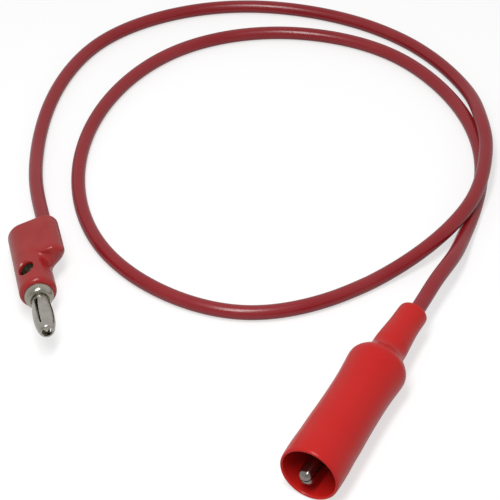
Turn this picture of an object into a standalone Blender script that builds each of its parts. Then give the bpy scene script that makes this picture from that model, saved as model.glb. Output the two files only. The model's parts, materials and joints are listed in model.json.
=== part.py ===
"""Test lead: a stackable 4 mm plug and a booted spring clip on one loose flexible cord.

Lengths are in millimetres and are scaled to metres when each mesh is made. Z is up and the
lead lies on the plane z = 0, plug at the front left, clip at the front right.
"""
import math

import bpy
import bmesh
import numpy as np
from mathutils import Euler, Matrix, Vector

MM = 0.001
GAP = 0.3

# Where the middle of the plug and clip together falls in the plan of the route below.
ORIGIN = (-9.638, -36.15)

# Cord.
CORD_R = 1.83
CORE_R = 0.6
CORD_STEP = 9.2

# Plug: a barrel with a cord lobe beside it, lying nose up on its rear edge.
PLUG_AT = (-56.12, 2.29, 4.46)
PLUG_HEADING = 13.9
PLUG_PITCH = 8.0
PLUG_ROLL = 26.8
BARREL_R = 4.5
BARREL_L = 24.0
LOBE_R = 3.33
LOBE_Y = 5.63
LOBE_SLANT = 3.4
LOBE_LEAN = 1.4
LOBE_PAST_HOLE = 0.25
WEB_POINTS = (0.4, 0.7)
WAIST = 0.4
LOBE_ROUND = 0.8
REAR_ROUND = 0.7
FRONT_ROUND = 1.2
CORD_DEPTH = 8.0
POCKET_END = 13.2

# Turned contact: rear socket, cross hole, flange and centre post.
SLEEVE_R = 2.75
SLEEVE_BACK = 1.0
SOCKET_R = 2.1
CROSS_AT = 17.8
CROSS_R = 2.05
CROSS_LEAD = 0.27
CROSS_CHAMFER = 0.75
SOCKET_END = CROSS_AT - 0.6 * CROSS_R
LOBE_FRONT_INNER = CROSS_AT - CROSS_R + LOBE_PAST_HOLE
CUT_PAST = 1.0
FLANGE_R = 3.5
FLANGE_BACK = BARREL_L + GAP
FLANGE_FACE = 25.2
POST_R = 1.2
PIN_TIP = 38.4

# Spring cage round the post.
CAGE_BACK = 26.5
CAGE_WALL = 0.32
SLOT_TURN = 20.0

# Boot of the clip, turned about its own axis; stations run from the mouth to the neck.
BOOT_MOUTH = (12.42, -73.61, 7.13)
BOOT_HEADING = 28.43
BOOT_DIP = 0.153
BOOT_LENGTH = 54.0
BOOT_TRAVEL = 12.0
CORD_IN_NECK = (0.6, -0.3)

# Clip inside the boot: +X to the nose, +Z from the fixed jaw to the moving one.
PIVOT_IN_BOOT = (-20.0, -0.18, -0.76)
CLIP_TURN = (18.0, 3.69, -1.82)
SHEET = 0.45
EAR_OUTER = 3.4
EAR_INNER = EAR_OUTER - SHEET - GAP
NOSE_X = 20.5
RIVET_R = 0.9
RIVET_HEAD_R = 1.6
RIVET_HEAD_T = 0.45
TOOTH_PITCH = 1.2
TOOTH_HEIGHT = 0.3
TOOTH_GAP = 0.42
TOOTH_BACK = 5.0
TOOTH_COUNT = 12
CRIMP_BACK = -19.8
CRIMP_FRONT = -15.5
CRIMP_Z = -0.77
CRIMP_WALL = 0.4
WIRE_R = 0.3
COIL_R = 1.75
JACKET_END = -17.2

# Plan and height of the cord's middle line, from the plug to the clip.
ROUTE = [
    (-49.4, -3.8, 8.1), (-51.3, 3.9, 7.0), (-53.2, 11.5, 5.9), (-55.3, 21.5, 4.5),
    (-56.5, 33.5, 3.0), (-56.5, 45.0, 2.1), (-55.1, 57.0, 1.83), (-51.0, 71.0, 1.83),
    (-43.5, 83.8, 1.83), (-24.9, 96.9, 1.83), (-3.9, 101.6, 1.83), (18.1, 98.9, 1.83),
    (38.1, 89.8, 1.83), (50.0, 79.2, 1.83), (58.7, 64.5, 2.6), (61.0, 56.3, 3.8),
    (61.9, 47.9, 5.1), (62.4, 39.3, 5.4), (61.5, 30.8, 5.7), (56.4, 14.3, 5.8),
    (51.8, 7.0, 5.6), (46.2, 0.7, 4.9), (32.4, -9.2, 2.1), (20.0, -16.3, 1.83),
    (-1.0, -21.1, 1.83), (-21.7, -14.1, 1.83), (-37.3, 1.3, 1.83), (-44.5, 21.4, 1.83),
    (-44.0, 43.3, 1.83), (-36.1, 64.0, 1.83), (-21.3, 80.2, 1.83), (-1.3, 88.2, 1.83),
    (20.4, 87.6, 1.83), (40.7, 78.3, 1.83), (51.4, 66.3, 1.83), (58.6, 51.2, 1.83),
    (61.0, 34.7, 1.83), (58.4, 18.1, 1.83), (53.0, 2.3, 3.3), (50.1, -5.3, 5.4),
]

for old in list(bpy.data.objects):
    bpy.data.objects.remove(old, do_unlink=True)

PARTS = bpy.data.collections.new("test_lead")
CUTTERS = bpy.data.collections.new("cutters")
bpy.context.scene.collection.children.link(PARTS)
bpy.context.scene.collection.children.link(CUTTERS)


def turn(axis, degrees):
    """Rotation matrix about one axis."""
    return Matrix.Rotation(math.radians(degrees), 4, axis)


def place(at, x_deg, y_deg, z_deg):
    """Frame with a position in millimetres and XYZ Euler angles in degrees."""
    angles = Euler([math.radians(a) for a in (x_deg, y_deg, z_deg)], "XYZ")
    return Matrix.Translation(Vector(at)) @ angles.to_matrix().to_4x4()


def in_metres(frame):
    """The same frame with its position scaled for an object."""
    out = frame.copy()
    out.translation = frame.translation * MM
    return out


SHIFT = Matrix.Translation(Vector((-ORIGIN[0], -ORIGIN[1], 0.0)))
PLUG = SHIFT @ place(PLUG_AT, PLUG_ROLL, -PLUG_PITCH, PLUG_HEADING - 90.0)
BOOT = SHIFT @ place(BOOT_MOUTH, 0.0, BOOT_DIP, -90.0 - BOOT_HEADING)
CLIP = BOOT @ place(PIVOT_IN_BOOT, *CLIP_TURN)
ALONG_X = turn("Y", 90.0)
ALONG_Y = turn("X", -90.0)


def material(name, colour, metallic, roughness):
    """One plain surface."""
    mat = bpy.data.materials.new(name)
    mat.use_nodes = True
    shader = mat.node_tree.nodes["Principled BSDF"]
    shader.inputs["Base Color"].default_value = (*colour, 1.0)
    shader.inputs["Metallic"].default_value = metallic
    shader.inputs["Roughness"].default_value = roughness
    return mat


def add_object(name, data, frame, mat):
    """Put one object in the scene, as a part if it has a material and else as a cutter."""
    obj = bpy.data.objects.new(name, data)
    obj.matrix_world = in_metres(frame)
    if mat is None:
        CUTTERS.objects.link(obj)
        obj.hide_render = True
        obj.display_type = "WIRE"
    else:
        PARTS.objects.link(obj)
        data.materials.append(mat)
    return obj


def mesh_from(name, points, faces, frame, mat=None):
    """Mesh object from points in millimetres; its faces are turned outward."""
    mesh = bpy.data.meshes.new(name)
    mesh.from_pydata([Vector(p) * MM for p in points], [], faces)
    work = bmesh.new()
    work.from_mesh(mesh)
    bmesh.ops.recalc_face_normals(work, faces=work.faces)
    work.to_mesh(mesh)
    work.free()
    for face in mesh.polygons:
        face.use_smooth = True
    return add_object(name, mesh, frame, mat)


def turned(name, profile, steps, frame, mat=None, ring=False):
    """Solid of revolution about the frame's Z; the profile is a list of (radius, z)."""
    edges = [(i, i + 1) for i in range(len(profile) - 1)]
    if ring:
        edges.append((len(profile) - 1, 0))
    mesh = bpy.data.meshes.new(name)
    mesh.from_pydata([Vector((r, 0.0, z)) * MM for r, z in profile], edges, [])
    obj = add_object(name, mesh, frame, mat)
    screw = obj.modifiers.new("turn", "SCREW")
    screw.axis = "Z"
    screw.steps = steps
    screw.render_steps = steps
    screw.use_merge_vertices = True
    screw.merge_threshold = 0.000002
    screw.use_smooth_shade = True
    return obj


def loft(name, rings, frame, mat=None):
    """Closed solid through rings of equal length, capped at both ends."""
    count = len(rings[0])
    points = [p for ring in rings for p in ring]
    faces = []
    for k in range(len(rings) - 1):
        for i in range(count):
            j = (i + 1) % count
            faces.append((k * count + i, k * count + j, (k + 1) * count + j, (k + 1) * count + i))
    faces.append(tuple(range(count)))
    faces.append(tuple(range((len(rings) - 1) * count, len(rings) * count)))
    return mesh_from(name, points, faces, frame, mat)


def box(name, low, high, frame, taper=1.0):
    """Cutter block; taper scales its Y width at the high X end."""
    points = []
    for x, scale in ((low[0], 1.0), (high[0], taper)):
        for y, z in ((low[1], low[2]), (high[1], low[2]), (high[1], high[2]), (low[1], high[2])):
            points.append((x, y * scale, z))
    faces = [(0, 1, 2, 3), (4, 5, 6, 7), (0, 1, 5, 4), (1, 2, 6, 5), (2, 3, 7, 6), (3, 0, 4, 7)]
    return mesh_from(name, points, faces, frame)


def rod(name, radius, z_low, z_high, frame, steps=24):
    """Plain cylinder cutter along the frame's Z."""
    return turned(name, [(0.0, z_high), (radius, z_high), (radius, z_low), (0.0, z_low)], steps, frame)


def combine(obj, other, operation):
    """Exact Boolean with another solid."""
    mod = obj.modifiers.new(operation.lower(), "BOOLEAN")
    mod.operation = operation
    mod.solver = "EXACT"
    mod.object = other


def wire(name, points, radius, frame, mat):
    """Round rod along a line of points, with closed ends."""
    curve = bpy.data.curves.new(name, "CURVE")
    curve.dimensions = "3D"
    curve.bevel_depth = radius * MM
    curve.bevel_resolution = 2
    curve.use_fill_caps = True
    line = curve.splines.new("POLY")
    line.points.add(len(points) - 1)
    for slot, point in zip(line.points, points):
        slot.co = (*(Vector(point) * MM), 1.0)
    line.use_smooth = True
    return add_object(name, curve, frame, mat)


def smooth_line(route, step):
    """Natural cubic curve through the route's points, read off at equal steps."""
    pts = np.array(route, dtype=float)
    t = np.concatenate([[0.0], np.cumsum(np.linalg.norm(np.diff(pts, axis=0), axis=1))])
    n = len(t)
    h = np.diff(t)
    system = np.eye(n)
    right = np.zeros((n, 3))
    for i in range(1, n - 1):
        system[i, i - 1] = h[i - 1]
        system[i, i] = 2.0 * (h[i - 1] + h[i])
        system[i, i + 1] = h[i]
        right[i] = 6.0 * ((pts[i + 1] - pts[i]) / h[i] - (pts[i] - pts[i - 1]) / h[i - 1])
    bend = np.linalg.solve(system, right)
    at = np.linspace(0.0, t[-1], int(round(t[-1] / step)) + 1)
    k = np.clip(np.searchsorted(t, at, side="right") - 1, 0, n - 2)
    a = ((t[k + 1] - at) / h[k])[:, None]
    b = 1.0 - a
    hk = (h[k] ** 2)[:, None] / 6.0
    line = a * pts[k] + b * pts[k + 1] + ((a ** 3 - a) * bend[k] + (b ** 3 - b) * bend[k + 1]) * hk
    line[:, 2] = np.maximum(line[:, 2], CORD_R)
    return line


RED = material("red_moulding", (0.42, 0.02, 0.02), 0.0, 0.38)
RED_CORD = material("red_cord", (0.40, 0.025, 0.03), 0.0, 0.5)
RED_BOOT = material("red_boot", (0.45, 0.02, 0.02), 0.0, 0.35)
NICKEL = material("nickel_plate", (0.62, 0.59, 0.53), 1.0, 0.25)
SPRING = material("cage_metal", (0.60, 0.57, 0.52), 1.0, 0.3)
STEEL = material("clip_steel", (0.55, 0.54, 0.52), 1.0, 0.3)
STEEL_TOP = material("clip_steel_top", (0.56, 0.55, 0.53), 1.0, 0.3)
RIVET = material("rivet_steel", (0.58, 0.57, 0.55), 1.0, 0.35)
WIRE = material("spring_wire", (0.35, 0.34, 0.33), 1.0, 0.35)
COPPER = material("tinned_core", (0.55, 0.36, 0.25), 1.0, 0.4)
COPPER_CLIP = material("tinned_core_clip", (0.56, 0.37, 0.26), 1.0, 0.4)

# Plug body: rings of one outline, a barrel circle and a lobe circle joined by tangents.
WEB = math.acos((BARREL_R - LOBE_R) / LOBE_Y)


def outline(x_barrel, x_lobe, barrel_r, lobe_r, lobe_y, squeeze=1.0):
    """Plug section: lobe arc, tangent, barrel arc, tangent.

    The barrel's arc lies in the plane x_barrel, and the rest at the station x_lobe(y, z).
    """
    lobe = []
    for phi in np.linspace(-WEB * squeeze, WEB * squeeze, 15):
        lobe.append((lobe_y + lobe_r * math.cos(phi), lobe_r * math.sin(phi)))
    barrel = []
    for phi in np.linspace(WEB, 2.0 * math.pi - WEB, 27):
        barrel.append((barrel_r * math.cos(phi), barrel_r * math.sin(phi)))
    web = []
    for share in WEB_POINTS:
        web.append([a + share * (b - a) for a, b in zip(barrel[0], lobe[-1])])
    ring = [(x_lobe(y, z), y, z) for y, z in lobe]
    ring += [(x_lobe(y, z), y, z) for y, z in reversed(web)]
    ring += [(x_barrel, y, z) for y, z in barrel]
    ring += [(x_lobe(y, -z), y, -z) for y, z in web]
    return ring


def flat(x):
    """Lobe station of a section that lies in one plane."""
    return lambda y, z: x


def lobe_front(y, z, back):
    """Station of the lobe's front, which slants away from the barrel and leans back below."""
    slope = LOBE_SLANT / (LOBE_Y + LOBE_R - BARREL_R)
    lean = 0.5 * LOBE_LEAN * (1.0 - z / LOBE_R)
    return LOBE_FRONT_INNER - slope * max(y - BARREL_R, -0.6) - lean - back


body_rings = []
for angle in (0.0, 30.0, 60.0, 90.0):
    inset = REAR_ROUND * (1.0 - math.sin(math.radians(angle)))
    x = REAR_ROUND * (1.0 - math.cos(math.radians(angle)))
    body_rings.append(outline(x, flat(x), BARREL_R - inset, LOBE_R - inset, LOBE_Y))
for angle in (0.0, 30.0, 60.0, 90.0):
    inset = LOBE_ROUND * (1.0 - math.cos(math.radians(angle)))
    back = LOBE_ROUND * (1.0 - math.sin(math.radians(angle)))
    x = CROSS_AT - CROSS_R - CROSS_CHAMFER - back
    body_rings.append(outline(x, lambda y, z, back=back: lobe_front(y, z, back), BARREL_R,
                              LOBE_R - inset, LOBE_Y - 0.3 * inset))
x = LOBE_FRONT_INNER
body_rings.append(outline(x + 0.6, flat(x + 0.25), BARREL_R, BARREL_R + 0.45, 0.0, 0.93))
for past, dip in ((0.95, 0.5), (2.3, 1.0), (4.2, 0.5)):
    body_rings.append(outline(x + past, flat(x + past), BARREL_R, BARREL_R, -dip * WAIST, 0.97))
for angle in (0.0, 22.5, 45.0, 67.5, 90.0):
    inset = FRONT_ROUND * (1.0 - math.cos(math.radians(angle)))
    x = BARREL_L - FRONT_ROUND * (1.0 - math.sin(math.radians(angle)))
    body_rings.append(outline(x, flat(x), BARREL_R - inset, BARREL_R - inset, 0.0, 0.97))
plug_body = loft("plug_body", body_rings, PLUG, RED)

cavity = turned("cut_cavity", [
    (0.0, BARREL_L + CUT_PAST), (SLEEVE_R + GAP, BARREL_L + CUT_PAST),
    (SLEEVE_R + GAP, SLEEVE_BACK - GAP),
    (SOCKET_R + GAP, SLEEVE_BACK - GAP), (SOCKET_R + GAP + 0.5, -0.4), (0.0, -0.4)],
    36, PLUG @ ALONG_X)
# The hole's chamfer starts a little below the place where its sides leave the barrel.
lead_z = math.sqrt(BARREL_R ** 2 - CROSS_R ** 2) - CROSS_LEAD
over_z = BARREL_R + CUT_PAST
lead_r = CROSS_R + over_z - lead_z
cross_plastic = turned("cut_cross", [
    (0.0, over_z), (lead_r, over_z), (CROSS_R, lead_z), (CROSS_R, -lead_z), (lead_r, -over_z),
    (0.0, -over_z)],
    32, PLUG @ Matrix.Translation(Vector((CROSS_AT, 0.0, 0.0))))
lobe_axis = PLUG @ Matrix.Translation(Vector((0.0, LOBE_Y, 0.0))) @ ALONG_X
cord_bore = rod("cut_cord_bore", CORD_R + GAP, -CUT_PAST, CORD_DEPTH + GAP, lobe_axis)
pocket = box("cut_pocket", (CORD_DEPTH, SLEEVE_R - 0.4, -0.95), (POCKET_END, LOBE_Y + 1.0, 0.95), PLUG)
for cutter in (cavity, cross_plastic, cord_bore, pocket):
    combine(plug_body, cutter, "DIFFERENCE")

plug_contact = turned("plug_contact", [
    (0.0, 37.5), (0.6, 37.5), (0.75, 37.3), (0.8, 36.4), (POST_R, 35.8), (POST_R, 26.35),
    (2.0, 26.2), (2.15, 25.6), (2.45, FLANGE_FACE), (3.2, FLANGE_FACE), (3.42, 25.0),
    (FLANGE_R, 24.75), (FLANGE_R, FLANGE_BACK), (SLEEVE_R, FLANGE_BACK), (SLEEVE_R, SLEEVE_BACK),
    (SOCKET_R, SLEEVE_BACK), (SOCKET_R, SOCKET_END), (0.0, SOCKET_END + 0.9)],
    36, PLUG @ ALONG_X, NICKEL)
cross_metal = rod("cut_cross_metal", CROSS_R, -6.0, 6.0,
                  PLUG @ Matrix.Translation(Vector((CROSS_AT, 0.0, 0.0))), 32)
combine(plug_contact, cross_metal, "DIFFERENCE")

cage_outer = [
    (1.62, 38.28), (1.85, 37.9), (2.08, 37.1), (2.3, 35.9), (2.42, 34.5), (2.45, 33.0),
    (2.38, 31.2), (2.25, 29.4), (2.1, 27.9), (2.05, CAGE_BACK)]
cage_inner = [(r - CAGE_WALL, z) for r, z in reversed(cage_outer[3:])]
plug_spring = turned("plug_spring", [(1.4, PIN_TIP)] + cage_outer + cage_inner
                     + [(1.66, 36.95), (1.15, 37.75), (1.15, PIN_TIP)],
                     32, PLUG @ ALONG_X, SPRING, ring=True)
for name, angle in (("cut_slot_a", SLOT_TURN), ("cut_slot_b", SLOT_TURN + 90.0)):
    slot = box(name, (27.7, -0.42, -4.0), (36.7, 0.42, 4.0), PLUG @ turn("X", angle), 0.4)
    combine(plug_spring, slot, "DIFFERENCE")

core_y = SLEEVE_R + GAP + CORE_R
plug_core = wire("plug_core", [
    (CORD_DEPTH + GAP, LOBE_Y, 0.0), (CORD_DEPTH + 1.3, LOBE_Y, 0.0),
    (CORD_DEPTH + 2.6, 0.5 * (LOBE_Y + core_y), 0.0), (CORD_DEPTH + 3.6, core_y, 0.0),
    (POCKET_END - GAP, core_y, 0.0)], CORE_R, PLUG, COPPER)

# Boot: outer and inner radii by station from the mouth.
boot_outer = [
    (0.0, 6.85), (0.35, 7.05), (2.0, 7.12), (4.0, 7.14), (6.0, 7.11), (9.0, 6.99), (12.0, 6.95),
    (15.0, 6.86), (18.0, 6.77), (21.0, 6.73), (24.0, 6.73), (27.0, 6.79), (30.0, 6.95),
    (31.7, 7.08), (33.6, 7.2), (34.8, 7.1), (35.8, 6.66), (36.7, 6.02), (37.6, 5.28),
    (38.5, 4.66), (39.6, 4.3), (41.6, 4.22), (43.6, 4.09), (45.5, 3.94), (47.5, 3.77),
    (49.5, 3.66), (53.1, 3.61), (53.75, 3.45), (BOOT_LENGTH, 3.15)]
boot_inner = [
    (BOOT_LENGTH, 2.91), (53.7, 2.82), (50.0, 2.82), (47.5, 2.94), (45.5, 3.1), (43.1, 3.29),
    (39.8, 3.45), (38.2, 3.69), (37.0, 4.33), (36.0, 5.12), (35.0, 5.86), (34.0, 6.28),
    (31.7, 6.22), (29.2, 6.05), (26.2, 5.93), (22.0, 5.9), (17.0, 5.97), (12.0, 6.12),
    (8.0, 6.2), (4.0, 6.3), (1.0, 6.27), (0.0, 6.35)]
boot = turned("boot", [(r, -s) for s, r in boot_outer + boot_inner], 40, BOOT @ ALONG_X,
              RED_BOOT, ring=True)


def channel(x, half, floor, top, corner):
    """Section of a folded strip: rounded along its floor and open or flat at its top."""
    side = -1.0 if floor < top else 1.0
    ring = [(x, -half, top)]
    for phi in np.linspace(180.0, 270.0, 5):
        ring.append((x, -half + corner + corner * math.cos(math.radians(phi)),
                     floor - side * corner - side * corner * math.sin(math.radians(phi))))
    for phi in np.linspace(270.0, 360.0, 5):
        ring.append((x, half - corner + corner * math.cos(math.radians(phi)),
                     floor - side * corner - side * corner * math.sin(math.radians(phi))))
    ring.append((x, half, top))
    return ring


def jaw(name, sections, inner_front, mat):
    """Folded jaw: an outer solid less the same sections moved in by the sheet thickness."""
    outer = loft(name, [channel(*s) for s in sections], CLIP, mat)
    inner = []
    for x, half, floor, top, corner in sections:
        if x > inner_front:
            continue
        up = 1.0 if floor < top else -1.0
        inner.append((x, half - SHEET, floor + up * SHEET, top + up * 4.0, corner - 0.6 * SHEET))
    first = inner[0]
    inner.insert(0, (inner_front, first[1] - 0.02, *first[2:]))
    last = inner[-1]
    inner.append((last[0] - 2.0, *last[1:]))
    hollow = loft("cut_" + name, [channel(*s) for s in inner], CLIP)
    combine(outer, hollow, "DIFFERENCE")
    return outer


def tooth_cutter(name, sign):
    """Block whose lower edge is the row of teeth, then the flat lips of the nose."""
    level = -sign * 0.5 * TOOTH_GAP
    line = [(3.9, level)]
    for i in range(TOOTH_COUNT):
        x = TOOTH_BACK + i * TOOTH_PITCH
        line.append((x, level - TOOTH_HEIGHT))
        line.append((x + 0.5 * TOOTH_PITCH, level + TOOTH_HEIGHT))
    line.append((TOOTH_BACK + TOOTH_COUNT * TOOTH_PITCH, -sign * 0.5 * GAP))
    line.append((22.0, -sign * 0.5 * GAP))
    line += [(22.0, sign * 6.0), (3.9, sign * 6.0)]
    return loft(name, [[(x, y, z) for x, z in line] for y in (-5.0, 5.0)], CLIP)


lower_jaw = jaw("lower_jaw", [
    (NOSE_X, 0.95, -1.45, 0.3, 0.6), (20.25, 1.3, -1.75, 0.3, 0.8), (19.6, 1.45, -1.9, 0.3, 0.9),
    (14.0, 1.75, -2.15, 0.3, 1.0), (8.0, 2.4, -2.7, 0.3, 1.2), (4.2, 2.95, -3.0, 0.3, 1.2),
    (3.2, 3.15, -3.1, 0.3, 1.2), (1.9, 3.35, -3.2, 1.7, 1.2), (1.2, EAR_OUTER, -3.2, 1.9, 1.2),
    (-1.2, EAR_OUTER, -3.25, 1.9, 1.2), (-1.9, EAR_OUTER, -3.28, 1.7, 1.2),
    (-3.4, 3.35, -3.3, -1.2, 1.2), (-8.0, 3.0, -3.3, -1.2, 1.2), (-12.0, 2.6, -3.3, -1.4, 1.2),
    (-13.4, 2.2, -3.3, -2.0, 1.0)], 19.9, STEEL)
crimp_r = CORD_R + GAP + CRIMP_WALL
crimp_frame = CLIP @ Matrix.Translation(Vector((0.0, 0.0, CRIMP_Z))) @ ALONG_X
crimp = turned("add_crimp", [
    (crimp_r, CRIMP_FRONT), (crimp_r, CRIMP_BACK), (CORD_R + GAP, CRIMP_BACK),
    (CORD_R + GAP, CRIMP_FRONT)], 28, crimp_frame, ring=True)
strap = box("add_strap", (-16.6, -0.75, -3.29), (-12.6, 0.75, -2.93), CLIP)
combine(lower_jaw, strap, "UNION")
combine(lower_jaw, crimp, "UNION")
combine(lower_jaw, tooth_cutter("cut_lower_teeth", 1.0), "DIFFERENCE")
pivot_y = CLIP @ ALONG_Y
hole = rod("cut_pivot", RIVET_R + GAP, -6.0, 6.0, pivot_y)
combine(lower_jaw, hole, "DIFFERENCE")

upper_jaw = jaw("upper_jaw", [
    (NOSE_X, 0.95, 1.45, -0.3, 0.6), (20.25, 1.3, 1.75, -0.3, 0.8), (19.6, 1.45, 1.9, -0.3, 0.9),
    (14.0, 1.7, 2.15, -0.3, 1.0), (8.0, 2.2, 2.65, -0.3, 1.2), (4.2, 2.5, 3.0, -0.3, 1.2),
    (3.2, 2.6, 3.1, -0.4, 1.2), (1.9, EAR_INNER, 3.2, -1.7, 1.2), (1.2, EAR_INNER, 3.2, -1.9, 1.2),
    (-1.2, EAR_INNER, 3.3, -1.9, 1.2), (-1.9, EAR_INNER, 3.4, -1.5, 1.2),
    (-3.2, EAR_INNER, 3.6, 1.9, 1.2), (-6.0, 2.7, 4.1, 3.0, 1.0), (-10.0, 2.85, 4.75, 3.8, 0.9),
    (-12.6, 2.9, 5.15, 4.3, 0.8), (-13.6, 2.7, 5.25, 4.45, 0.75)], 19.9, STEEL_TOP)
combine(upper_jaw, tooth_cutter("cut_upper_teeth", -1.0), "DIFFERENCE")
combine(upper_jaw, hole, "DIFFERENCE")

head_in = EAR_OUTER + GAP
head_out = head_in + RIVET_HEAD_T
jaw_rivet = turned("jaw_rivet", [
    (0.0, head_out), (1.25, head_out), (RIVET_HEAD_R, head_out - 0.2), (RIVET_HEAD_R, head_in),
    (RIVET_R, head_in), (RIVET_R, -head_in), (RIVET_HEAD_R, -head_in),
    (RIVET_HEAD_R, 0.2 - head_out), (1.25, -head_out), (0.0, -head_out)], 24, pivot_y, RIVET)

coil = [(-8.0, -1.0, 3.15), (-4.0, -1.0, 2.45)]
for k in range(41):
    phi = math.radians(90.0 - 22.5 * k)
    coil.append((COIL_R * math.cos(phi), -1.0 + 2.0 * k / 40.0, COIL_R * math.sin(phi)))
coil += [(-4.0, 1.0, -2.0), (-8.0, 1.0, -2.15)]
jaw_spring = wire("jaw_spring", coil, WIRE_R, CLIP, WIRE)

# The cord's straight end lies along the boot's axis, so that the boot can slide along it.
cord_end_x = PIVOT_IN_BOOT[0] + JACKET_END
straight = [BOOT @ Vector((x, *CORD_IN_NECK)) for x in
            (-BOOT_LENGTH - BOOT_TRAVEL - 0.5, -BOOT_LENGTH - 0.5 * BOOT_TRAVEL, -BOOT_LENGTH,
             -47.0, cord_end_x)]
route = [SHIFT @ Vector(p) for p in ROUTE] + straight
cord = wire("cord", smooth_line(route, CORD_STEP), CORD_R, Matrix.Identity(4), RED_CORD)
core_low = cord_end_x + GAP
clip_core = wire("clip_core", [BOOT @ Vector((x, *CORD_IN_NECK)) for x in
                               (core_low, core_low + 4.0)], CORE_R, Matrix.Identity(4), COPPER_CLIP)
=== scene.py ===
"""Looks of a red test lead: a stackable 4 mm plug, a loose flexible cord and a booted spring clip.

Lengths are in millimetres in each section and are scaled to metres when a mesh is made. The lead
lies on z = 0, plug at the front left and clip at the front right, seen from 45 degrees above.
"""
import json
import math

import bmesh
import bpy
import numpy as np
from mathutils import Euler, Matrix, Vector

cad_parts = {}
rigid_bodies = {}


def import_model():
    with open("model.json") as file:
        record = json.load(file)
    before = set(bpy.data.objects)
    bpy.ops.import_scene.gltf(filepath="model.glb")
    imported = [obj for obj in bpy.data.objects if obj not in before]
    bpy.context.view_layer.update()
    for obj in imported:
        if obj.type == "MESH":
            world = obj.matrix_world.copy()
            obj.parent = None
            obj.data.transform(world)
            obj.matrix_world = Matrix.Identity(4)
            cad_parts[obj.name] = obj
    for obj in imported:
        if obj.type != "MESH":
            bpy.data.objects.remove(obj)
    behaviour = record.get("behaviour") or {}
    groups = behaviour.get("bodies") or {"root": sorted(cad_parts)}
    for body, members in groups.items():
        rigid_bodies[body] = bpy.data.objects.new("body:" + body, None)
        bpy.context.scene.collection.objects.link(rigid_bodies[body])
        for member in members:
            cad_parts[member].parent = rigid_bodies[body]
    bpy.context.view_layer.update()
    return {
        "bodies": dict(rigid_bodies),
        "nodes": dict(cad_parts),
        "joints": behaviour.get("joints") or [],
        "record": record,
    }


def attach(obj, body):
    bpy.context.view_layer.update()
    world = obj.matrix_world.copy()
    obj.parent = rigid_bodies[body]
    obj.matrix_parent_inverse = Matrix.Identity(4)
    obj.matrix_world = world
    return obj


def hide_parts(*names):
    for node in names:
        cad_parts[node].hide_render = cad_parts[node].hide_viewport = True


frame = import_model()
nodes = frame["nodes"]

# Camera: a long lens looking down at 45 degrees along +Y, as the lead was photographed.
camera_data = bpy.data.cameras.new("camera")
camera_data.lens = 115.2
camera_data.sensor_width = 36.0
camera_data.clip_start = 0.01
camera_data.clip_end = 20.0
camera = bpy.data.objects.new("camera", camera_data)
camera.location = (0.009513, -0.246412, 0.284568)
camera.rotation_euler = (math.radians(45.0), 0.0, 0.0)
bpy.context.scene.collection.objects.link(camera)
bpy.context.scene.camera = camera
bpy.context.scene.view_settings.view_transform = "Standard"


# Studio: a soft lamp almost overhead in a white surround that is darker on the camera's side,
# so that glossy red shows its own colour there and pale reflections towards its edges.
def area_lamp(name, at, aim, size, watts):
    """Rectangular soft lamp at a place, turned to a point; all in metres."""
    data = bpy.data.lights.new(name, "AREA")
    data.shape = "RECTANGLE"
    data.size, data.size_y = size
    data.energy = watts
    lamp = bpy.data.objects.new(name, data)
    lamp.location = at
    lamp.rotation_euler = (Vector(aim) - Vector(at)).to_track_quat("-Z", "Y").to_euler()
    bpy.context.scene.collection.objects.link(lamp)


def any_of(tree, outputs):
    """Largest of several light path outputs, as a chain of maximum nodes."""
    last = outputs[0]
    for output in outputs[1:]:
        step = tree.nodes.new("ShaderNodeMath")
        step.operation = "MAXIMUM"
        tree.links.new(last, step.inputs[0])
        tree.links.new(output, step.inputs[1])
        last = step.outputs[0]
    return last


area_lamp("lamp_strip", (-0.030, -0.085, 0.32), (0.005, 0.02, 0.0), (0.06, 0.2), 0.62)

# Strengths of the white surround: what the eye sees, what lights the lead, and what glossy
# surfaces mirror, from behind the lead to the camera's side.
seen_strength = 1.0
light_strength = 0.55
mirror_far, mirror_near = 0.8, 0.45
world = bpy.data.worlds.new("studio")
bpy.context.scene.world = world
world.use_nodes = True
tree = world.node_tree
tree.nodes.clear()
rays = tree.nodes.new("ShaderNodeLightPath")
way = tree.nodes.new("ShaderNodeTexCoord")
towards = tree.nodes.new("ShaderNodeVectorMath")
towards.operation = "DOT_PRODUCT"
towards.inputs[1].default_value = (0.0, -0.7071, 0.7071)
dark_side = tree.nodes.new("ShaderNodeMapRange")
dark_side.interpolation_type = "SMOOTHSTEP"
dark_side.inputs["From Min"].default_value = 0.1
dark_side.inputs["From Max"].default_value = 0.95
dark_side.inputs["To Min"].default_value = mirror_far
dark_side.inputs["To Max"].default_value = mirror_near
mirror_level = tree.nodes.new("ShaderNodeMix")
mirror_level.inputs["A"].default_value = light_strength
seen_level = tree.nodes.new("ShaderNodeMix")
seen_level.inputs["B"].default_value = seen_strength
back = tree.nodes.new("ShaderNodeBackground")
out = tree.nodes.new("ShaderNodeOutputWorld")
tree.links.new(way.outputs["Generated"], towards.inputs[0])
tree.links.new(towards.outputs["Value"], dark_side.inputs["Value"])
tree.links.new(dark_side.outputs[0], mirror_level.inputs["B"])
tree.links.new(any_of(tree, [rays.outputs["Is Glossy Ray"], rays.outputs["Is Transmission Ray"]]),
               mirror_level.inputs["Factor"])
tree.links.new(mirror_level.outputs["Result"], seen_level.inputs["A"])
tree.links.new(rays.outputs["Is Camera Ray"], seen_level.inputs["Factor"])
tree.links.new(seen_level.outputs["Result"], back.inputs["Strength"])
tree.links.new(back.outputs[0], out.inputs["Surface"])

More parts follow.
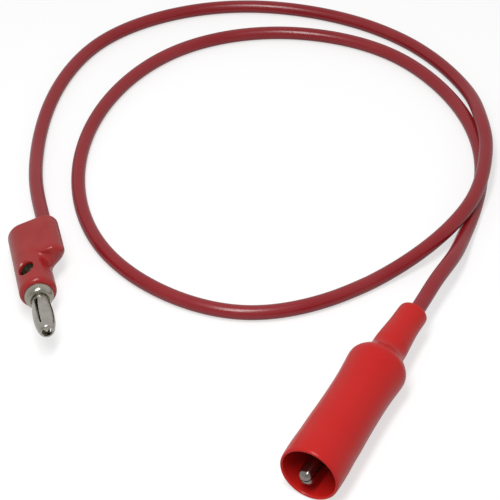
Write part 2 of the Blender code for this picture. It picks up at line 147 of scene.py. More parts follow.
# Floor: a plain pale table top, lifted to white for the eye and less for what mirrors it. It
# gives no light of its own to matt surfaces.
floor_reach = 3.0
floor_lift = 0.6
mirrored_share = 0.4
floor_mesh = bpy.data.meshes.new("floor")
floor_mesh.from_pydata([(-floor_reach, -floor_reach, 0.0), (floor_reach, -floor_reach, 0.0),
                        (floor_reach, floor_reach, 0.0), (-floor_reach, floor_reach, 0.0)],
                       [], [(0, 1, 2, 3)])
floor = bpy.data.objects.new("floor", floor_mesh)
bpy.context.scene.collection.objects.link(floor)
floor.location.z = -0.0001
floor_mat = bpy.data.materials.new("white_sweep")
floor_mat.use_nodes = True
tree = floor_mat.node_tree
shader = tree.nodes["Principled BSDF"]
shader.inputs["Base Color"].default_value = (0.5, 0.5, 0.5, 1.0)
shader.inputs["Roughness"].default_value = 0.9
shader.inputs["Specular IOR Level"].default_value = 0.0
rays = tree.nodes.new("ShaderNodeLightPath")
mirrored = tree.nodes.new("ShaderNodeMath")
mirrored.operation = "MULTIPLY"
mirrored.inputs[1].default_value = mirrored_share
lift = tree.nodes.new("ShaderNodeMath")
lift.operation = "MULTIPLY"
lift.inputs[1].default_value = floor_lift
shader.inputs["Emission Color"].default_value = (1.0, 1.0, 1.0, 1.0)
tree.links.new(any_of(tree, [rays.outputs["Is Glossy Ray"], rays.outputs["Is Transmission Ray"]]),
               mirrored.inputs[0])
tree.links.new(any_of(tree, [rays.outputs["Is Camera Ray"], mirrored.outputs[0]]), lift.inputs[0])
tree.links.new(lift.outputs[0], shader.inputs["Emission Strength"])
floor_mesh.materials.append(floor_mat)


# Cord: a flexible rubber jacket, 3.66 mm across, extruded over stranded copper. It runs from
# inside the plug's lobe through two loose loops, over itself once, and into the boot's neck.
MM = 0.001
ORIGIN = Vector((-9.638, -36.15, 0.0))
cord_radius = 1.83
cord_step = 1.1
cord_sides = 32
cord_route = np.array([
    (-49.4, -3.8, 8.1), (-51.3, 3.9, 7.0), (-53.2, 11.5, 5.9), (-55.3, 21.5, 4.5),
    (-56.5, 33.5, 3.0), (-56.5, 45.0, 2.1), (-55.1, 57.0, 1.83), (-51.0, 71.0, 1.83),
    (-43.5, 83.8, 1.83), (-24.9, 96.9, 1.83), (-3.9, 101.6, 1.83), (18.1, 98.9, 1.83),
    (38.1, 89.8, 1.83), (50.0, 79.2, 1.83), (58.7, 64.5, 2.6), (61.0, 56.3, 3.8),
    (61.9, 47.9, 5.1), (62.4, 39.3, 5.4), (61.5, 30.8, 5.7), (56.4, 14.3, 5.8),
    (51.8, 7.0, 5.6), (46.2, 0.7, 4.9), (32.4, -9.2, 2.1), (20.0, -16.3, 1.83),
    (-1.0, -21.1, 1.83), (-21.7, -14.1, 1.83), (-37.3, 1.3, 1.83), (-44.5, 21.4, 1.83),
    (-44.0, 43.3, 1.83), (-36.1, 64.0, 1.83), (-21.3, 80.2, 1.83), (-1.3, 88.2, 1.83),
    (20.4, 87.6, 1.83), (40.7, 78.3, 1.83), (51.4, 66.3, 1.83), (58.6, 51.2, 1.83),
    (61.0, 34.7, 1.83), (58.4, 18.1, 1.83), (53.0, 2.3, 3.3), (50.1, -5.3, 5.4)])


def place(at, x_deg, y_deg, z_deg):
    """Frame with a position in millimetres and XYZ Euler angles in degrees."""
    angles = Euler([math.radians(a) for a in (x_deg, y_deg, z_deg)], "XYZ")
    return Matrix.Translation(Vector(at)) @ angles.to_matrix().to_4x4()


boot_frame = place(Vector((12.42, -73.61, 7.13)) - ORIGIN, 0.0, 0.153, -118.43)
cord_in_neck = (0.6, -0.3)
neck_line = [boot_frame @ Vector((x, *cord_in_neck)) for x in (-66.5, -60.0, -54.0, -47.0, -37.2)]
cord_points = np.vstack([cord_route - np.array(ORIGIN), np.array([tuple(p) for p in neck_line])])


def natural_cubic(knots, values, at):
    """Natural cubic through rows of values at the knots, read at other places.

    On each span the curve is a P + b Q plus (a^3 - a) and (b^3 - b) times the bends at its ends;
    the bends solve the usual three-term equations, with none at the two ends.
    """
    h = np.diff(knots)
    n = len(knots)
    inner = np.arange(1, n - 1)
    system = np.eye(n)
    system[inner, inner - 1] = h[:-1]
    system[inner, inner] = 2.0 * (h[:-1] + h[1:])
    system[inner, inner + 1] = h[1:]
    right = np.zeros_like(values)
    right[1:-1] = 6.0 * np.diff(np.diff(values, axis=0) / h[:, None], axis=0)
    bend = np.linalg.solve(system, right)
    k = np.clip(np.searchsorted(knots, at, side="right") - 1, 0, n - 2)
    a = ((knots[k + 1] - at) / h[k])[:, None]
    b = 1.0 - a
    cubic = ((a ** 3 - a) * bend[k] + (b ** 3 - b) * bend[k + 1]) * (h[k] ** 2)[:, None] / 6.0
    return a * values[k] + b * values[k + 1] + cubic


def smooth_line(points, step):
    """Natural cubic curve through points by chord length, read off at equal steps."""
    points = np.asarray(points, dtype=float)
    t = np.concatenate([[0.0], np.cumsum(np.linalg.norm(np.diff(points, axis=0), axis=1))])
    return natural_cubic(t, points, np.linspace(0.0, t[-1], int(round(t[-1] / step)) + 1))


def grid_mesh(name, grid, caps=(True, True), sharp=50.0, trail=None):
    """Mesh object from a (rings, points, 3) array in millimetres.

    Neighbouring rings are joined by quads, each ring is closed, and an end that is capped is
    one flat face. The trail, if given, is kept as a point attribute.
    """
    rings, count, _ = grid.shape
    k, i = np.meshgrid(np.arange(rings - 1), np.arange(count), indexing="ij")
    j = (i + 1) % count
    quads = np.stack([k * count + i, k * count + j, (k + 1) * count + j, (k + 1) * count + i], -1)
    faces = quads.reshape(-1, 4).tolist()
    faces += [(ring * count + np.arange(count)).tolist()
              for wanted, ring in zip(caps, (0, rings - 1)) if wanted]
    mesh = bpy.data.meshes.new(name)
    mesh.from_pydata((grid.reshape(-1, 3) * MM).tolist(), [], faces)
    if trail is not None:
        kept = mesh.attributes.new("trail", "FLOAT_VECTOR", "POINT")
        kept.data.foreach_set("vector", trail.astype(np.float32).ravel())
    piece = bpy.data.objects.new(name, mesh)
    bpy.context.scene.collection.objects.link(piece)
    face_outward(mesh, sharp)
    return piece


def face_outward(mesh, sharp):
    """Merge a mesh's doubles, turn its faces outward and shade it smooth up to an angle."""
    work = bmesh.new()
    work.from_mesh(mesh)
    bmesh.ops.remove_doubles(work, verts=work.verts, dist=0.0000005)
    bmesh.ops.recalc_face_normals(work, faces=work.faces)
    work.to_mesh(mesh)
    work.free()
    mesh.polygons.foreach_set("use_smooth", np.ones(len(mesh.polygons), bool))
    mesh.set_sharp_from_angle(angle=math.radians(sharp))


cord_line = smooth_line(cord_points, cord_step)
cord_line[:, 2] = np.maximum(cord_line[:, 2], cord_radius)
tangent = np.gradient(cord_line, axis=0)
tangent /= np.linalg.norm(tangent, axis=1)[:, None]
across = np.cross(tangent, (0.0, 0.0, 1.0))
across /= np.linalg.norm(across, axis=1)[:, None]
above = np.cross(across, tangent)
around = np.linspace(0.0, 2.0 * math.pi, cord_sides, endpoint=False)
cos_around = np.cos(around)[None, :, None]
sin_around = np.sin(around)[None, :, None]
cord_grid = cord_line[:, None] + cord_radius * (cos_around * across[:, None]
                                                + sin_around * above[:, None])
run = np.concatenate([[0.0], np.cumsum(np.linalg.norm(np.diff(cord_line, axis=0), axis=1))])
cord_trail = np.stack(np.broadcast_arrays(run[:, None], np.cos(around), np.sin(around)), -1)
cord = grid_mesh("lead_cord", cord_grid, trail=cord_trail)


def shade_group(name, inputs, outputs):
    """Empty shader node group with named inputs and outputs; returns it with its two ends."""
    group = bpy.data.node_groups.new(name, "ShaderNodeTree")
    for label, kind, value in inputs:
        slot = group.interface.new_socket(name=label, in_out="INPUT", socket_type=kind)
        slot.default_value = value
    for label, kind in outputs:
        group.interface.new_socket(name=label, in_out="OUTPUT", socket_type=kind)
    return group, group.nodes.new("NodeGroupInput"), group.nodes.new("NodeGroupOutput")


def ranged(tree, value, low, high, from_low=0.0, from_high=1.0):
    """Map Range node; low and high are numbers or outputs to link."""
    node = tree.nodes.new("ShaderNodeMapRange")
    tree.links.new(value, node.inputs["Value"])
    node.inputs["From Min"].default_value = from_low
    node.inputs["From Max"].default_value = from_high
    for label, end in (("To Min", low), ("To Max", high)):
        if isinstance(end, (int, float)):
            node.inputs[label].default_value = end
        else:
            tree.links.new(end, node.inputs[label])
    return node.outputs[0]


def blended(tree, factor, first, second):
    """Colour mix of two outputs or colours by a factor."""
    node = tree.nodes.new("ShaderNodeMix")
    node.data_type = "RGBA"
    tree.links.new(factor, node.inputs["Factor"])
    for label, colour in (("A", first), ("B", second)):
        if isinstance(colour, tuple):
            node.inputs[label].default_value = colour
        else:
            tree.links.new(colour, node.inputs[label])
    return node.outputs["Result"]


def texture(tree, kind, vector, scale, detail=None):
    """Noise or Voronoi texture on a vector; the scale is a number or an output."""
    node = tree.nodes.new(kind)
    tree.links.new(vector, node.inputs["Vector"])
    if isinstance(scale, (int, float)):
        node.inputs["Scale"].default_value = scale
    else:
        tree.links.new(scale, node.inputs["Scale"])
    if detail is not None:
        node.inputs["Detail"].default_value = detail
    return node


# Moulded-surface group: two tones of one colour in soft patches, a fine grain for the bump and
# a wandering gloss, all on the vector that it is given.
surface_outputs = [("Colour", "NodeSocketColor"), ("Roughness", "NodeSocketFloat"),
                   ("Height", "NodeSocketFloat")]
speck_share = 0.35
moulded, ends_in, ends_out = shade_group(
    "moulded_surface",
    [("Vector", "NodeSocketVector", (0.0, 0.0, 0.0)),
     ("Colour", "NodeSocketColor", (0.5, 0.02, 0.02, 1.0)),
     ("Worn Colour", "NodeSocketColor", (0.6, 0.08, 0.08, 1.0)),
     ("Patch Scale", "NodeSocketFloat", 120.0), ("Patch Amount", "NodeSocketFloat", 0.25),
     ("Grain Scale", "NodeSocketFloat", 2500.0), ("Gloss Low", "NodeSocketFloat", 0.34),
     ("Gloss High", "NodeSocketFloat", 0.5)],
    surface_outputs)
given = ends_in.outputs
patch = texture(moulded, "ShaderNodeTexNoise", given["Vector"], given["Patch Scale"], 4.0)
grain = texture(moulded, "ShaderNodeTexNoise", given["Vector"], given["Grain Scale"], 3.0)
specks = texture(moulded, "ShaderNodeTexVoronoi", given["Vector"], given["Grain Scale"])
share = ranged(moulded, patch.outputs["Fac"], 0.0, given["Patch Amount"], 0.35, 0.7)
moulded.links.new(blended(moulded, share, given["Colour"], given["Worn Colour"]),
                  ends_out.inputs["Colour"])
moulded.links.new(ranged(moulded, patch.outputs["Fac"], given["Gloss Low"], given["Gloss High"]),
                  ends_out.inputs["Roughness"])
height = moulded.nodes.new("ShaderNodeMath")
height.operation = "MULTIPLY_ADD"
height.inputs[1].default_value = speck_share
moulded.links.new(specks.outputs["Distance"], height.inputs[0])
moulded.links.new(grain.outputs["Fac"], height.inputs[2])
moulded.links.new(height.outputs[0], ends_out.inputs["Height"])


grain_depth = 0.02


def moulded_material(name, values, bump, specular=0.5):
    """Material that wears the moulded-surface group; values go to the group's inputs."""
    mat = bpy.data.materials.new(name)
    mat.use_nodes = True
    tree = mat.node_tree
    shader = tree.nodes["Principled BSDF"]
    shader.inputs["Specular IOR Level"].default_value = specular
    spot = tree.nodes.new("ShaderNodeTexCoord")
    wear = tree.nodes.new("ShaderNodeGroup")
    wear.node_tree = moulded
    tree.links.new(spot.outputs["Object"], wear.inputs["Vector"])
    for label, value in values.items():
        wear.inputs[label].default_value = value
    rough = tree.nodes.new("ShaderNodeBump")
    rough.inputs["Strength"].default_value = bump
    rough.inputs["Distance"].default_value = grain_depth * MM
    tree.links.new(wear.outputs["Colour"], shader.inputs["Base Color"])
    tree.links.new(wear.outputs["Roughness"], shader.inputs["Roughness"])
    tree.links.new(wear.outputs["Height"], rough.inputs["Height"])
    tree.links.new(rough.outputs["Normal"], shader.inputs["Normal"])
    return mat


cord_mat = moulded_material("cord_jacket", {
    "Colour": (0.285, 0.010, 0.016, 1.0), "Worn Colour": (0.345, 0.028, 0.034, 1.0),
    "Patch Scale": 60.0, "Patch Amount": 0.6, "Grain Scale": 3000.0,
    "Gloss Low": 0.2, "Gloss High": 0.3}, bump=0.1)
# Faint lines that the extruder's die leaves along the jacket: noise on the trail (run along the
# cord, then cosine and sine round it), drawn out along the run.
die_line_height = 1.2
tree = cord_mat.node_tree
marks = tree.nodes.new("ShaderNodeAttribute")
marks.attribute_name = "trail"
stretch = tree.nodes.new("ShaderNodeMapping")
stretch.inputs["Scale"].default_value = (0.06, 9.0, 9.0)
tree.links.new(marks.outputs["Vector"], stretch.inputs["Vector"])
die_lines = texture(tree, "ShaderNodeTexNoise", stretch.outputs["Vector"], 1.0, 3.0)
wear = next(n for n in tree.nodes if n.type == "GROUP")
rough = next(n for n in tree.nodes if n.type == "BUMP")
ridge = tree.nodes.new("ShaderNodeMath")
ridge.operation = "MULTIPLY_ADD"
ridge.inputs[1].default_value = die_line_height
tree.links.new(die_lines.outputs["Fac"], ridge.inputs[0])
tree.links.new(wear.outputs["Height"], ridge.inputs[2])
tree.links.new(ridge.outputs[0], rough.inputs["Height"])
cord.data.materials.append(cord_mat)
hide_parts("cord")
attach(cord, "lead")


# Plug body: one red moulding, a barrel round the contact with a lobe beside it that holds the
# cord. The lobe ends behind the cross hole in a slanting front; the barrel is slightly waisted
# between the two. Stations run from the rear face at 0 to the front face.
plug_frame = place(Vector((-56.12, 2.29, 4.46)) - ORIGIN, 26.8, -8.0, 13.9 - 90.0)
barrel_r = 4.5
barrel_l = 24.0
lobe_r = 3.33
lobe_y = 5.63
edge_round = 1.5
foot_round = 1.6
rear_round = 0.7
front_round = 1.2
waist = 0.12
waist_at = 15.6
waist_reach = 1.6
body_sides = 300
cross_at = 17.8
cross_r = 2.05
edge_knots = np.array([(-180.0, 10.0), (-120.0, 9.9), (-80.0, 9.3), (-55.0, 9.8), (-37.0, 11.3),
                       (-18.0, 12.0), (-8.0, 12.9), (3.0, 13.9), (15.0, 14.2), (30.0, 14.0),
                       (38.0, 13.5), (55.0, 11.6), (80.0, 10.4), (120.0, 10.0), (180.0, 10.0)])
foot_knots = np.array([(-180.0, 12.2), (-120.0, 12.0), (-80.0, 11.2), (-55.0, 13.2),
                       (-37.0, 14.5), (-18.0, 14.9), (0.0, 14.5), (20.0, 13.9), (38.0, 13.6),
                       (55.0, 13.0), (80.0, 12.0), (120.0, 12.2), (180.0, 12.2)])
web = math.acos((barrel_r - lobe_r) / lobe_y)


def outline_radius(angle, inset=0.0):
    """Distance from the barrel's axis to the outline: round the lobe, then a tangent, then round.

    The outline hugs two circles; the tangent touches the barrel at the web angle, and the lobe
    at the angle join.
    """
    fold = np.abs((angle + math.pi) % (2.0 * math.pi) - math.pi)
    barrel, lobe = barrel_r - inset, lobe_r - inset
    join = math.atan2(lobe * math.sin(web), lobe_y + lobe * math.cos(web))
    chord = np.sqrt(np.maximum(lobe ** 2 - (lobe_y * np.sin(fold)) ** 2, 0.0))
    on_web = barrel / np.cos(np.minimum(fold, web) - web)
    on_barrel = np.where(fold < web, on_web, barrel)
    return np.where(fold < join, lobe_y * np.cos(fold) + chord, on_barrel)


def bent(start, corner, end, steps):
    """Quadratic curve from start to end that leaves towards the corner, for arrays of points.

    At t it is (1 - t)^2 start + 2 t (1 - t) corner + t^2 end.
    """
    t = np.linspace(0.0, 1.0, steps)[:, None, None]
    return (1.0 - t) ** 2 * start + 2.0 * t * (1.0 - t) * corner + t ** 2 * end


def placed(frame, grid):
    """Points in a frame's own millimetres, moved to the part's place."""
    turn = np.array(frame)
    return grid @ turn[:3, :3].T + turn[:3, 3]


# Angles at even steps along the outline, then one profile of (station, radius) at each angle.
# The knots above give, against the angle in degrees, the stations of the lobe's front edge and
# of the foot where its front meets the barrel; they were fitted to the photographed outline.
fine = np.linspace(0.0, 2.0 * math.pi, 8001)
rim = outline_radius(fine)[:, None] * np.stack([np.cos(fine), np.sin(fine)], -1)
reach = np.concatenate([[0.0], np.cumsum(np.linalg.norm(np.diff(rim, axis=0), axis=1))])
angle = np.interp(np.linspace(0.0, reach[-1], body_sides, endpoint=False), reach, fine)
outside = outline_radius(angle)


def profile_rows(x, r):
    """Rows of (station, radius) from values that are spread over the angles."""
    return np.stack(np.broadcast_arrays(x, r), -1)


def barrel_radius(x):
    """Barrel with a shallow waist on the lobe's side, in front of the lobe."""
    dip = np.exp(-((x - waist_at) / waist_reach) ** 2)
    return barrel_r - waist * dip * np.clip(np.cos(angle), 0.0, 1.0) ** 1.5


# The lobe's front is cut slanting: it runs back under the lobe and fades into the barrel there.
signed = np.degrees((angle + math.pi) % (2.0 * math.pi) - math.pi)
edge_x = natural_cubic(edge_knots[:, 0], edge_knots[:, 1:], signed)[:, 0]
foot_x = natural_cubic(foot_knots[:, 0], foot_knots[:, 1:], signed)[:, 0]
edge = profile_rows(edge_x, outside)
foot = profile_rows(foot_x, barrel_radius(foot_x))
down = foot - edge
drop = np.linalg.norm(down, axis=-1, keepdims=True)
down = down / np.maximum(drop, 0.000001)
forward = np.array([1.0, 0.0])
rear = [profile_rows(rear_round * (1.0 - math.cos(a)),
                     outline_radius(angle, rear_round * (1.0 - math.sin(a))))
        for a in np.radians(np.linspace(0.0, 90.0, 8))]
edge_start = edge - edge_round * forward
flank = [profile_rows(rear_round + share * (edge_start[:, 0] - rear_round), outside)
         for share in (0.15, 0.35, 0.55, 0.75, 0.9)]
foot_end = foot + foot_round * forward
crest = bent(edge_start, edge, edge + np.minimum(edge_round, 0.5 * drop) * down, 11)
hollow = bent(foot - np.minimum(foot_round, 0.5 * drop) * down, foot, foot_end, 12)
front_start = barrel_l - front_round
front_x = foot_end[:, 0] + np.linspace(0.0, 1.0, 26)[1:, None] * (front_start - foot_end[:, 0])
front = [profile_rows(x, barrel_radius(x)) for x in front_x]
nose = [profile_rows(barrel_l - front_round * (1.0 - math.sin(a)),
                     barrel_r - front_round * (1.0 - math.cos(a)))
        * np.ones((len(angle), 1)) for a in np.radians(np.linspace(0.0, 90.0, 10)[1:])]
rows = np.concatenate([np.array(rear), np.array(flank), crest, hollow, np.array(front),
                       np.array(nose)])
body_grid = np.stack([rows[..., 0], rows[..., 1] * np.cos(angle), rows[..., 1] * np.sin(angle)], -1)
plug_body = grid_mesh("plug_moulding", placed(plug_frame, body_grid))


def spun(name, profile, frame, sides=96, closed=False, sharp=35.0):
    """Turned solid about a frame's X from rows of (station, radius).

    A point at angle phi is (station, radius cos phi, radius sin phi). A profile that starts and
    ends on the axis closes by itself, and a closed one is a ring whose last row meets its first.
    """
    rows = np.array(profile, dtype=float)
    if closed:
        rows = np.vstack([rows, rows[:1]])
    phi = np.linspace(0.0, 2.0 * math.pi, sides, endpoint=False)
    grid = np.stack([np.broadcast_to(rows[:, :1], (len(rows), sides)),
                     rows[:, 1:] * np.cos(phi), rows[:, 1:] * np.sin(phi)], -1)
    return grid_mesh(name, placed(frame, grid), caps=(False, False), sharp=sharp)


def carve(piece, tools, operation="DIFFERENCE", sharp=35.0):
    """Exact Boolean of a piece with its tools, kept in its mesh; the tools are deleted."""
    for tool in tools:
        step = piece.modifiers.new("cut", "BOOLEAN")
        step.operation = operation
        step.solver = "EXACT"
        step.object = tool
    bpy.context.view_layer.update()
    graph = bpy.context.evaluated_depsgraph_get()
    mesh = bpy.data.meshes.new_from_object(piece.evaluated_get(graph), depsgraph=graph)
    piece.modifiers.clear()
    piece.data = mesh
    for tool in tools:
        bpy.data.objects.remove(tool, do_unlink=True)
    mesh.polygons.foreach_set("use_smooth", np.ones(len(mesh.polygons), bool))
    mesh.set_sharp_from_angle(angle=math.radians(sharp))


sleeve_r = 2.75
socket_r = 2.1
gap = 0.05
collar_r = 3.5
collar = (15.3, 20.3)
cavity = spun("tool_cavity", [
    (-0.5, 0.0), (-0.5, socket_r + 0.95), (0.0, socket_r + 0.8), (0.25, socket_r + 0.45),
    (0.7, socket_r + 0.3), (0.7, sleeve_r + gap), (collar[0] - gap, sleeve_r + gap),
    (collar[0] - gap, collar_r + gap), (collar[1] + gap, collar_r + gap),
    (collar[1] + gap, sleeve_r + gap), (barrel_l + 1.0, sleeve_r + gap),
    (barrel_l + 1.0, 0.0)], plug_frame)
across_plug = plug_frame @ place((cross_at, 0.0, 0.0), 0.0, -90.0, 0.0)
lip = [(3.8 + 0.6 * math.sin(a), cross_r + 0.6 * (1.0 - math.cos(a)))
       for a in np.radians(np.linspace(0.0, 45.0, 7))]
flare = lip + [(lip[-1][0] + 2.0, lip[-1][1] + 2.0)]
cross_rows = [(-x, r) for x, r in reversed(flare)] + flare
cross_hole = spun("tool_cross", [(cross_rows[0][0], 0.0)] + cross_rows
                  + [(cross_rows[-1][0], 0.0)], across_plug)
lobe_axis = plug_frame @ place((0.0, lobe_y, 0.0), 0.0, 0.0, 0.0)
cord_bore = spun("tool_bore", [(-0.6, 0.0), (-0.6, cord_radius + 0.3), (0.0, cord_radius + 0.22),
                               (0.35, cord_radius + 0.04), (8.3, cord_radius + 0.04),
                               (8.3, 0.0)], lobe_axis, sides=64)
carve(plug_body, [cavity, cross_hole, cord_bore])

body_mat = moulded_material("plug_plastic", {
    "Colour": (0.36, 0.012, 0.012, 1.0), "Worn Colour": (0.43, 0.045, 0.04, 1.0),
    "Patch Scale": 220.0, "Patch Amount": 0.45, "Grain Scale": 2600.0,
    "Gloss Low": 0.2, "Gloss High": 0.34}, bump=0.16)
plug_body.data.materials.clear()
plug_body.data.materials.append(body_mat)
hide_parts("plug_body")
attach(plug_body, "lead")


# Plated-metal group: a warm plate with duller stains, fine scratches for the bump and a gloss
# that follows the stains.
plated, ends_in, ends_out = shade_group(
    "plated_metal",
    [("Colour", "NodeSocketColor", (0.5, 0.48, 0.42, 1.0)),
     ("Dull Colour", "NodeSocketColor", (0.3, 0.28, 0.24, 1.0)),
     ("Stain Scale", "NodeSocketFloat", 500.0), ("Stain Amount", "NodeSocketFloat", 0.5),
     ("Scratch Scale", "NodeSocketFloat", 4000.0), ("Gloss Low", "NodeSocketFloat", 0.2),
     ("Gloss High", "NodeSocketFloat", 0.4)],
    surface_outputs)
given = ends_in.outputs
spot = plated.nodes.new("ShaderNodeTexCoord")
stains = texture(plated, "ShaderNodeTexNoise", spot.outputs["Object"], given["Stain Scale"], 5.0)
squash = plated.nodes.new("ShaderNodeMapping")
squash.inputs["Scale"].default_value = (1.0, 0.12, 1.0)
plated.links.new(spot.outputs["Object"], squash.inputs["Vector"])
scratches = texture(plated, "ShaderNodeTexNoise", squash.outputs["Vector"],
                    given["Scratch Scale"], 2.0)
share = ranged(plated, stains.outputs["Fac"], 0.0, given["Stain Amount"], 0.4, 0.72)
plated.links.new(blended(plated, share, given["Colour"], given["Dull Colour"]),
                 ends_out.inputs["Colour"])
plated.links.new(ranged(plated, stains.outputs["Fac"], given["Gloss Low"], given["Gloss High"]),
                 ends_out.inputs["Roughness"])
plated.links.new(scratches.outputs["Fac"], ends_out.inputs["Height"])


scratch_bump = 0.1
scratch_depth = 0.01


def plated_material(name, values):
    """Metal that wears the plated-metal group; values go to the group's inputs."""
    mat = bpy.data.materials.new(name)
    mat.use_nodes = True
    tree = mat.node_tree
    shader = tree.nodes["Principled BSDF"]
    shader.inputs["Metallic"].default_value = 1.0
    wear = tree.nodes.new("ShaderNodeGroup")
    wear.node_tree = plated
    for label, value in values.items():
        wear.inputs[label].default_value = value
    rough = tree.nodes.new("ShaderNodeBump")
    rough.inputs["Strength"].default_value = scratch_bump
    rough.inputs["Distance"].default_value = scratch_depth * MM
    tree.links.new(wear.outputs["Colour"], shader.inputs["Base Color"])
    tree.links.new(wear.outputs["Roughness"], shader.inputs["Roughness"])
    tree.links.new(wear.outputs["Height"], rough.inputs["Height"])
    tree.links.new(rough.outputs["Normal"], shader.inputs["Normal"])
    return mat


# Contact: one turned and nickel-plated bar. It has the rear socket, the sleeve with the cross
# hole, a rounded shoulder in front of the moulding and the post that carries the cage.
dome = [(24.45 + 1.85 * math.sin(a), 2.32 + 1.18 * math.cos(a))
        for a in np.radians(np.linspace(90.0, 0.0, 14))]
contact = spun("plug_contact_turned", [
    (37.6, 0.0), (37.6, 0.55), (37.52, 0.68), (37.3, 0.75), (36.4, 0.8), (35.8, 1.2), (26.3, 1.2),
    (26.25, 2.0), (26.1, 2.08), (26.05, 2.18), (26.2, 2.27)] + dome + [
    (24.12, 3.5), (24.12, sleeve_r), (collar[1], sleeve_r), (collar[1], collar_r),
    (collar[0], collar_r), (collar[0], sleeve_r), (1.0, sleeve_r), (0.85, sleeve_r - 0.15),
    (0.85, socket_r + 0.12), (1.0, socket_r), (16.57, socket_r), (17.47, 0.0)], plug_frame)
cross_metal = spun("tool_cross_metal", [(-6.0, 0.0), (-6.0, cross_r), (6.0, cross_r), (6.0, 0.0)],
                   across_plug)
carve(contact, [cross_metal])
nickel = plated_material("nickel", {
    "Colour": (0.47, 0.45, 0.375, 1.0), "Dull Colour": (0.30, 0.285, 0.24, 1.0),
    "Stain Scale": 420.0, "Stain Amount": 0.6, "Gloss Low": 0.16, "Gloss High": 0.34})
contact.data.materials.clear()
contact.data.materials.append(nickel)
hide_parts("plug_contact")
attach(contact, "lead")

# Cage: a spring of thin plated sheet, rolled round the post and slit into four leaves between
# its two bands. The leaves bow out, so that they press against the wall of a jack.
cage_wall = 0.32
slot_turn = 2.0
cage_outer = np.array([
    (26.38, 2.06), (27.1, 2.1), (27.9, 2.16), (29.4, 2.33), (31.2, 2.48), (33.0, 2.53),
    (34.5, 2.48), (35.9, 2.33), (37.1, 2.08), (37.9, 1.85), (38.2, 1.68), (38.35, 1.5)])
cage_step = 0.12
front_band_at = 36.2
cage_line = smooth_line(cage_outer, cage_step)
inner_part = cage_line[cage_line[:, 0] < front_band_at]
cage_rows = (cage_line.tolist() + [(38.4, 1.38), (38.38, 1.22), (37.8, 1.16), (36.95, 1.66)]
             + [(x, r - cage_wall) for x, r in inner_part[::-1]])
cage = spun("plug_cage", cage_rows, plug_frame, closed=True, sharp=45.0)


def slab(name, low, high, frame, taper=1.0):
    """Block between two corners; its width in Y is scaled by the taper at the high X end."""
    rows = []
    for x, scale in ((low[0], 1.0), (high[0], taper)):
        rows.append([(x, low[1] * scale, low[2]), (x, high[1] * scale, low[2]),
                     (x, high[1] * scale, high[2]), (x, low[1] * scale, high[2])])
    return grid_mesh(name, placed(frame, np.array(rows)))


carve(cage, [slab("tool_slot", (27.6, -0.5, -4.0), (36.7, 0.5, 4.0),
                  plug_frame @ place((0.0, 0.0, 0.0), slot_turn + turn, 0.0, 0.0), 0.4)
             for turn in (0.0, 90.0)], sharp=45.0)
cage_metal = plated_material("cage_plate", {
    "Colour": (0.54, 0.515, 0.465, 1.0), "Dull Colour": (0.33, 0.31, 0.27, 1.0),
    "Stain Scale": 500.0, "Stain Amount": 0.5, "Gloss Low": 0.2, "Gloss High": 0.36})
cage.data.materials.clear()
cage.data.materials.append(cage_metal)
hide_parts("plug_spring")
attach(cage, "lead")


# Boot: a dipped tube of soft red vinyl over the clip, open at the mouth, with a shoulder and a
# narrow neck that grips the cord. Its mouth is cut a little slanted, top edge set back.
boot_outer = np.array([
    (0.55, 7.05), (2.0, 7.12), (4.0, 7.14), (6.0, 7.11), (9.0, 6.99), (12.0, 6.95), (15.0, 6.86),
    (18.0, 6.77), (21.0, 6.73), (24.0, 6.73), (27.0, 6.79), (30.0, 6.95), (31.7, 7.08),
    (33.6, 7.2), (34.8, 7.1), (35.8, 6.66), (36.7, 6.02), (37.6, 5.28), (38.5, 4.66),
    (39.6, 4.3), (41.6, 4.22), (43.6, 4.09), (45.5, 3.94), (47.5, 3.77), (49.5, 3.66),
    (51.5, 3.63), (53.2, 3.61)])
boot_inner = np.array([
    (53.4, 2.3), (52.0, 2.2), (50.0, 2.6), (47.5, 2.94), (45.5, 3.1), (43.1, 3.29), (39.8, 3.45),
    (38.2, 3.69), (37.0, 4.33), (36.0, 5.12), (35.0, 5.86), (34.0, 6.28), (31.7, 6.22),
    (29.2, 6.05), (26.2, 5.93), (22.0, 5.9), (17.0, 5.97), (12.0, 6.12), (8.0, 6.2), (4.0, 6.3),
    (1.6, 6.3), (0.5, 6.33)])
mouth_slant = 0.69
mouth_reach = 9.0
neck_bend = 0.35
neck_bend_at = 42.0
neck_bend_reach = 12.0
boot_sides = 160
boot_step = 0.35
mouth_lip = [(0.2, 6.4), (0.04, 6.52), (-0.02, 6.68), (0.04, 6.84), (0.22, 6.97)]
neck_lip = [(53.7, 3.54), (53.93, 3.36), (54.0, 3.1), (53.95, 2.8), (53.7, 2.5)]
boot_rows = np.vstack([smooth_line(boot_outer, boot_step), neck_lip,
                       smooth_line(boot_inner, boot_step), mouth_lip])
boot_rows = np.vstack([boot_rows, boot_rows[:1]])
phi = np.linspace(0.0, 2.0 * math.pi, boot_sides, endpoint=False)
station = boot_rows[:, :1]
q = boot_rows[:, 1:] * np.cos(phi)
u = boot_rows[:, 1:] * np.sin(phi)
near_mouth = np.clip(1.0 - station / mouth_reach, 0.0, 1.0)
station = station + mouth_slant * near_mouth ** 2 * u / boot_outer[0, 1]
q = q + neck_bend * np.clip((station - neck_bend_at) / neck_bend_reach, 0.0, 1.0) ** 2
boot = grid_mesh("boot_vinyl", placed(boot_frame, np.stack([-station, q, u], -1)),
                 caps=(False, False))
boot_mat = moulded_material("boot_skin", {
    "Colour": (0.58, 0.013, 0.011, 1.0), "Worn Colour": (0.61, 0.024, 0.018, 1.0),
    "Patch Scale": 90.0, "Patch Amount": 0.4, "Grain Scale": 3500.0,
    "Gloss Low": 0.24, "Gloss High": 0.36}, bump=0.06, specular=0.3)
boot.data.materials.append(boot_mat)
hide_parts("boot")
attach(boot, "sleeve")


